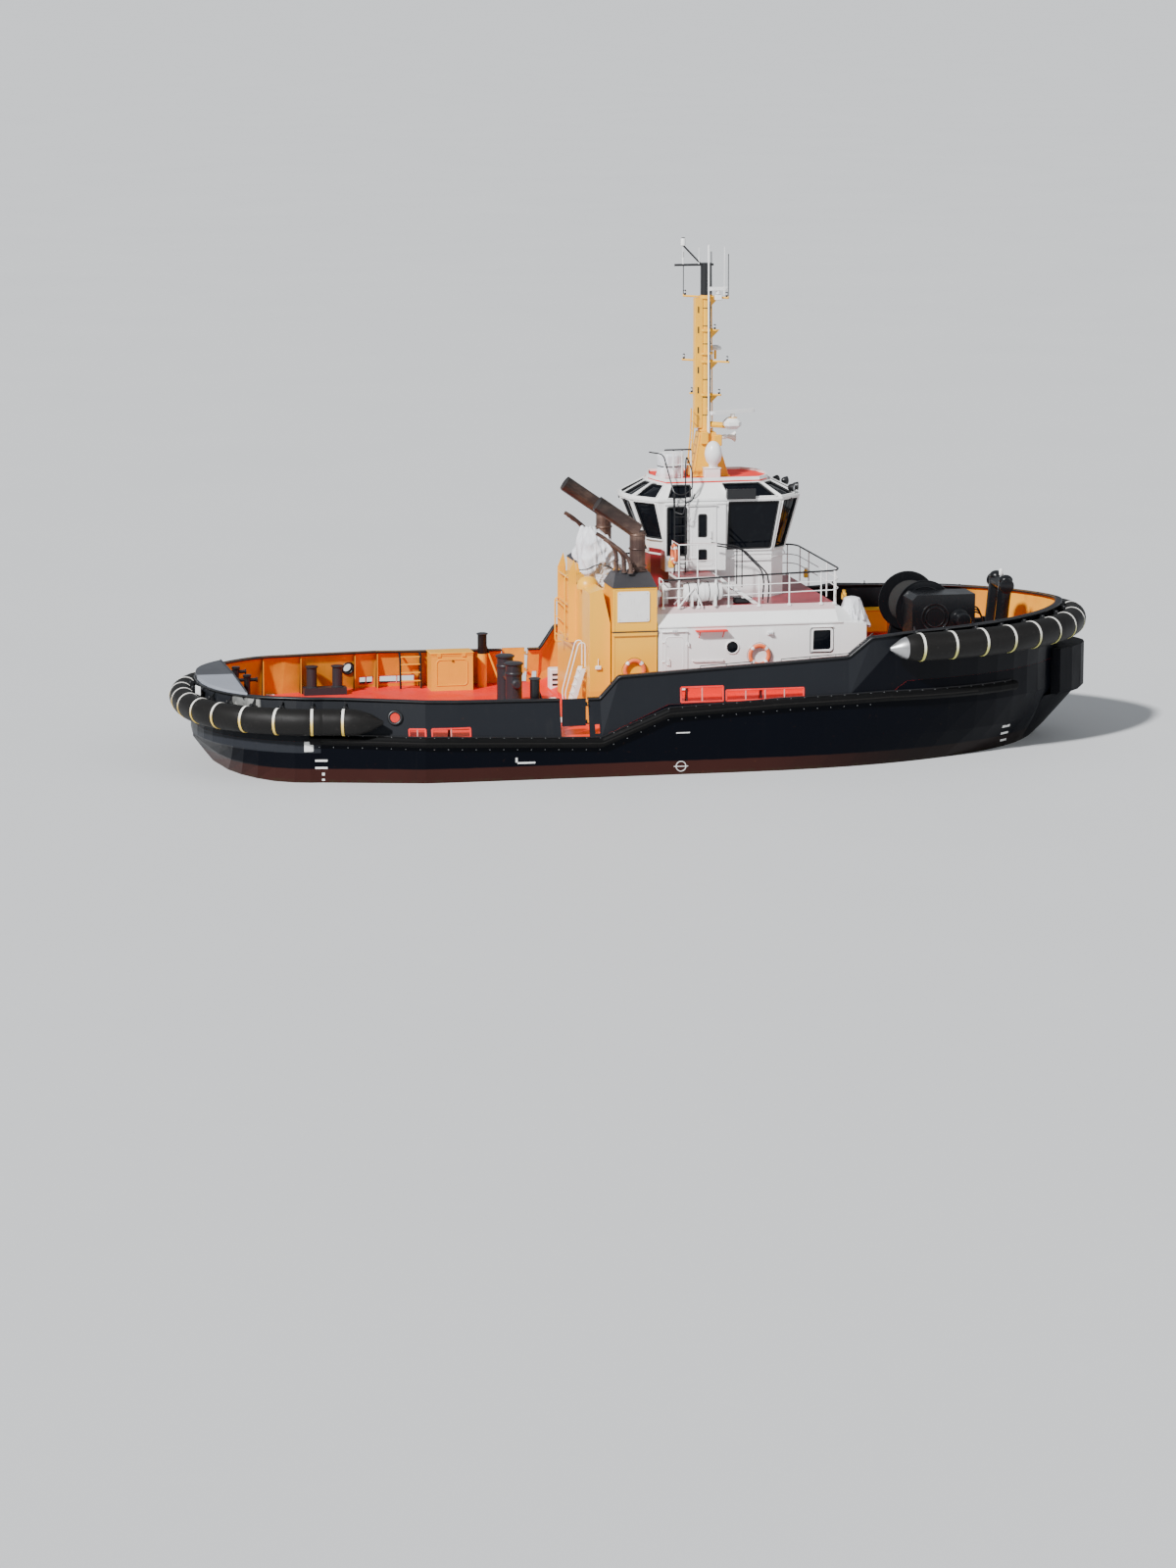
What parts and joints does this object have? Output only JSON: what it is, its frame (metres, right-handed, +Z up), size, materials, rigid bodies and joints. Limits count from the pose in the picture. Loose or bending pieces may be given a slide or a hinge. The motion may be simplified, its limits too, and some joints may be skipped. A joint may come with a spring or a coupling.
{
  "type": "harbour tugboat",
  "caption": "Compact harbour tug with two azimuth drives, cylindrical bow and stern fenders, raised wheelhouse, tall mast and a bow winch.",
  "frame": {"origin": "on the centreline amidships, at the waterline", "axes": "+X forward to the bow, +Y to port, +Z up"},
  "size_m": [28.996, 11.74, 20.26],
  "materials": {
    "hull_paint": "near-black navy gloss paint, dull red below the waterline",
    "bulwark_paint": "dark grey gloss paint outside, ochre inside",
    "grey_paint": "grey paint, scuffed",
    "fender_rubber": "weathered black rubber",
    "drive_paint": "dull red underwater paint",
    "bronze": "cast bronze",
    "white_paint": "white gloss paint",
    "window_glass": "dark tinted glass",
    "ochre_paint": "ochre paint",
    "yellow_paint": "warm yellow paint",
    "exhaust_steel": "heat-browned steel",
    "canvas": "white tarpaulin",
    "deck_paint": "red non-slip deck paint",
    "maroon_paint": "maroon deck paint, white rails",
    "white_plastic": "white moulded housing",
    "black_paint": "black gloss paint"
  },
  "bodies": {
    "tug": {"hull": "hull_paint", "skeg": "hull_paint", "bulwark_aft": "bulwark_paint", "bulwark_fore": "bulwark_paint", "stern_cap": "grey_paint", "fender_stern": "fender_rubber", "fender_bow": "fender_rubber", "fender_side_starboard": "fender_rubber", "fender_side_port": "fender_rubber", "fender_stem": "fender_rubber", "deckhouse": "white_paint", "deckhouse_glass_starboard": "window_glass", "deckhouse_glass_port": "window_glass", "aft_house": "ochre_paint", "casing_starboard": "yellow_paint", "casing_cap_starboard": "exhaust_steel", "vent_trunk_starboard": "yellow_paint", "casing_port": "yellow_paint", "casing_cap_port": "exhaust_steel", "fin_plates": "yellow_paint", "covered_gear": "canvas", "wheelhouse_base": "white_paint", "wheelhouse_cabin": "white_paint", "wheelhouse_roof": "deck_paint", "platform_starboard": "maroon_paint", "platform_port": "maroon_paint", "mast": "yellow_paint", "roof_rails": "white_paint", "roof_monitor": "canvas", "winch_frame": "black_paint", "towing_staple": "black_paint", "towing_bitt": "grey_paint", "bollard_aft_starboard": "grey_paint", "side_post_starboard": "black_paint", "bollard_aft_port": "grey_paint", "side_post_port": "black_paint", "locker_port": "ochre_paint"},
    "drive_starboard": {"drive_starboard": "drive_paint"},
    "propeller_starboard": {"propeller_starboard": "bronze"},
    "deckhouse_door_starboard": {"deckhouse_door_starboard": "white_paint"},
    "wheelhouse_door_starboard": {"wheelhouse_door_starboard": "white_paint"},
    "bulwark_gate_starboard": {"bulwark_gate_starboard": "bulwark_paint"},
    "drive_port": {"drive_port": "drive_paint"},
    "propeller_port": {"propeller_port": "bronze"},
    "deckhouse_door_port": {"deckhouse_door_port": "white_paint"},
    "wheelhouse_door_port": {"wheelhouse_door_port": "white_paint"},
    "bulwark_gate_port": {"bulwark_gate_port": "bulwark_paint"},
    "radar_low": {"radar_scanner_low": "white_plastic"},
    "radar_high": {"radar_scanner_high": "white_plastic"},
    "winch_drum": {"winch_drum": "black_paint"}
  },
  "joints": [
    {"name": "drive_starboard_turn", "type": "hinge", "parent": "tug", "child": "drive_starboard", "pos_m": [-11.2, -2.3, -3.2], "axis": [0, 0, 1], "continuous": true},
    {"name": "propeller_starboard_spin", "type": "hinge", "parent": "drive_starboard", "child": "propeller_starboard", "pos_m": [-11.85, -2.3, -3.2], "axis": [1, 0, 0], "continuous": true},
    {"name": "deckhouse_door_starboard_hinge", "type": "hinge", "parent": "tug", "child": "deckhouse_door_starboard", "pos_m": [0.87, -3.65, 3.2], "axis": [0, 0, 1], "range_deg": [0, 100]},
    {"name": "wheelhouse_door_starboard_hinge", "type": "hinge", "parent": "tug", "child": "wheelhouse_door_starboard", "pos_m": [1.22, -1.896, 6.7], "axis": [0, 0, -1], "range_deg": [0, 100]},
    {"name": "bulwark_gate_starboard_hinge", "type": "hinge", "parent": "tug", "child": "bulwark_gate_starboard", "pos_m": [-2.556, -4.97, 1.9], "axis": [0, 0, -1], "range_deg": [0, 95]},
    {"name": "drive_port_turn", "type": "hinge", "parent": "tug", "child": "drive_port", "pos_m": [-11.2, 2.3, -3.2], "axis": [0, 0, 1], "continuous": true},
    {"name": "propeller_port_spin", "type": "hinge", "parent": "drive_port", "child": "propeller_port", "pos_m": [-11.85, 2.3, -3.2], "axis": [1, 0, 0], "continuous": true},
    {"name": "deckhouse_door_port_hinge", "type": "hinge", "parent": "tug", "child": "deckhouse_door_port", "pos_m": [0.87, 3.65, 3.2], "axis": [0, 0, -1], "range_deg": [0, 100]},
    {"name": "wheelhouse_door_port_hinge", "type": "hinge", "parent": "tug", "child": "wheelhouse_door_port", "pos_m": [1.22, 1.896, 6.7], "axis": [0, 0, 1], "range_deg": [0, 100]},
    {"name": "bulwark_gate_port_hinge", "type": "hinge", "parent": "tug", "child": "bulwark_gate_port", "pos_m": [-2.556, 4.97, 1.9], "axis": [0, 0, 1], "range_deg": [0, 95]},
    {"name": "radar_low_spin", "type": "hinge", "parent": "tug", "child": "radar_low", "pos_m": [2.87, -0.75, 10.28], "axis": [0, 0, 1], "continuous": true},
    {"name": "radar_high_spin", "type": "hinge", "parent": "tug", "child": "radar_high", "pos_m": [2.47, -0.45, 14.04], "axis": [0, 0, 1], "continuous": true},
    {"name": "winch_drum_spin", "type": "hinge", "parent": "tug", "child": "winch_drum", "pos_m": [8.98, 0, 4.15], "axis": [0, 1, 0], "continuous": true}
  ]
}
